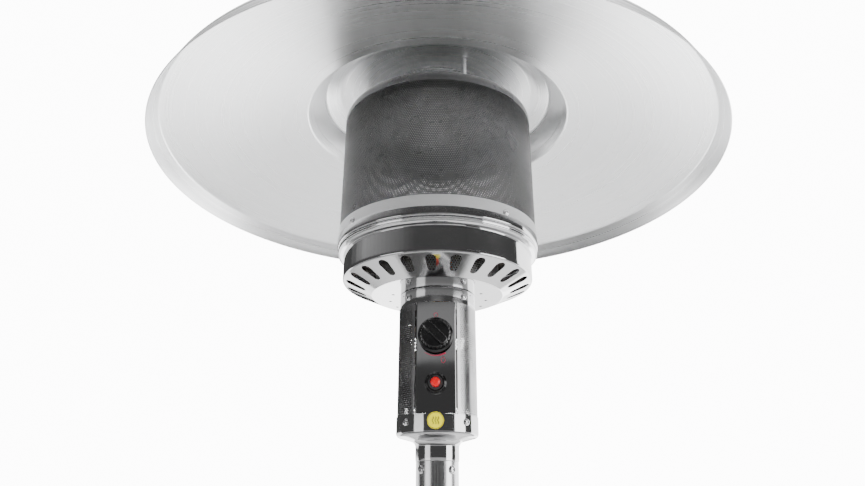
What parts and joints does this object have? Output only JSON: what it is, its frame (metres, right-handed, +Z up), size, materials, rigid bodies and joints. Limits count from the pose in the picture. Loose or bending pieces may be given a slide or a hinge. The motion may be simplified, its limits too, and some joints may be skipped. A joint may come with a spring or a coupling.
{
  "type": "patio heater",
  "caption": "Free-standing gas patio heater: wide spun reflector, perforated emitter, control head, slim post, sliding tank housing and round base with wheels.",
  "frame": {"origin": "centre of the base, on the floor", "axes": "+Z up, front with the control knob towards -Y"},
  "size_m": [0.813, 0.813, 2.226],
  "materials": {
    "reflector_aluminium": "spun, fine rings, satin",
    "polished_stainless": "mirror polished",
    "emitter_steel": "perforated, slightly heat dulled",
    "head_mesh_steel": "perforated, polished",
    "panel_steel": "smooth, semi gloss",
    "post_steel": "polished tube",
    "housing_steel": "brushed",
    "fastener_steel": "bright plated",
    "zinc_steel": "zinc plated, matt",
    "burner_steel": "heat tinted",
    "ballast_iron": "rough casting",
    "edge_rubber": "matt",
    "black_plastic": "fine texture",
    "knob_plastic": "semi gloss",
    "red_plastic": "glossy",
    "label_yellow": "printed film, no lettering",
    "brass": "machined",
    "copper_tube": "drawn tube",
    "spring_steel": "drawn wire",
    "lead_silicone": "smooth sleeve",
    "wheel_plastic": "moulded",
    "tyre_rubber": "matt"
  },
  "bodies": {
    "heater": {"base_edge_ring": "edge_rubber", "base_plate": "housing_steel", "base_ballast": "ballast_iron", "leg_left": "zinc_steel", "leg_right": "zinc_steel", "leg_rear": "zinc_steel", "base_bolts": "fastener_steel", "post_flange": "zinc_steel", "flange_bolts": "fastener_steel", "lower_post": "post_steel", "post_coupler": "zinc_steel", "upper_post": "post_steel", "post_screws": "fastener_steel", "wheel_bracket": "zinc_steel", "wheel_axle": "fastener_steel", "axle_caps": "black_plastic", "head_bottom_cap": "polished_stainless", "head_wrap": "head_mesh_steel", "front_panel": "panel_steel", "label_disc": "label_yellow", "head_top_cap": "polished_stainless", "head_screws": "fastener_steel", "gas_valve": "brass", "valve_bracket": "zinc_steel", "gas_inlet_fitting": "brass", "knob_spring": "spring_steel", "igniter_body": "black_plastic", "igniter_bezel": "knob_plastic", "igniter_spring": "spring_steel", "tilt_switch": "black_plastic", "main_gas_pipe": "copper_tube", "injector": "brass", "pilot_tube": "copper_tube", "pilot_hood": "burner_steel", "thermocouple": "copper_tube", "igniter_lead": "lead_silicone", "burner_bowl": "polished_stainless", "bowl_guard": "head_mesh_steel", "mixer_tube": "burner_steel", "burner_deck": "burner_steel", "burner_head": "burner_steel", "emitter_base_ring": "polished_stainless", "base_ring_screws": "fastener_steel", "emitter_screen": "emitter_steel", "emitter_top_cap": "emitter_steel", "reflector_studs": "fastener_steel", "reflector": "reflector_aluminium", "wing_nuts": "fastener_steel"},
    "housing": {"housing_shell": "housing_steel", "housing_cover": "housing_steel", "housing_collar": "black_plastic", "housing_rivets": "fastener_steel"},
    "left_wheel": {"left_wheel_hub": "wheel_plastic", "left_wheel_tyre": "tyre_rubber"},
    "right_wheel": {"right_wheel_hub": "wheel_plastic", "right_wheel_tyre": "tyre_rubber"},
    "rotor": {"valve_rotor": "brass"},
    "knob": {"valve_stem": "fastener_steel", "control_knob": "knob_plastic"},
    "button": {"igniter_button": "red_plastic"}
  },
  "joints": [
    {"name": "housing_lift", "type": "slide", "parent": "heater", "child": "housing", "axis": [0, 0, 1], "range_m": [0, 0.43]},
    {"name": "left_wheel_spin", "type": "hinge", "parent": "heater", "child": "left_wheel", "pos_m": [-0.099, 0.284, 0.064], "axis": [1, 0, 0], "continuous": true},
    {"name": "right_wheel_spin", "type": "hinge", "parent": "heater", "child": "right_wheel", "pos_m": [0.099, 0.284, 0.064], "axis": [1, 0, 0], "continuous": true},
    {"name": "knob_turn", "type": "hinge", "parent": "heater", "child": "rotor", "pos_m": [0, -0.04, 1.818], "axis": [0, -1, 0], "range_deg": [-45, 165]},
    {"name": "knob_push", "type": "slide", "parent": "rotor", "child": "knob", "axis": [0, 1, 0], "range_m": [0, 0.004], "stiffness_N_per_m": 1200, "springref_m": -0.002},
    {"name": "igniter_push", "type": "slide", "parent": "heater", "child": "button", "axis": [0, 1, 0], "range_m": [0, 0.005], "stiffness_N_per_m": 600, "springref_m": -0.002}
  ]
}
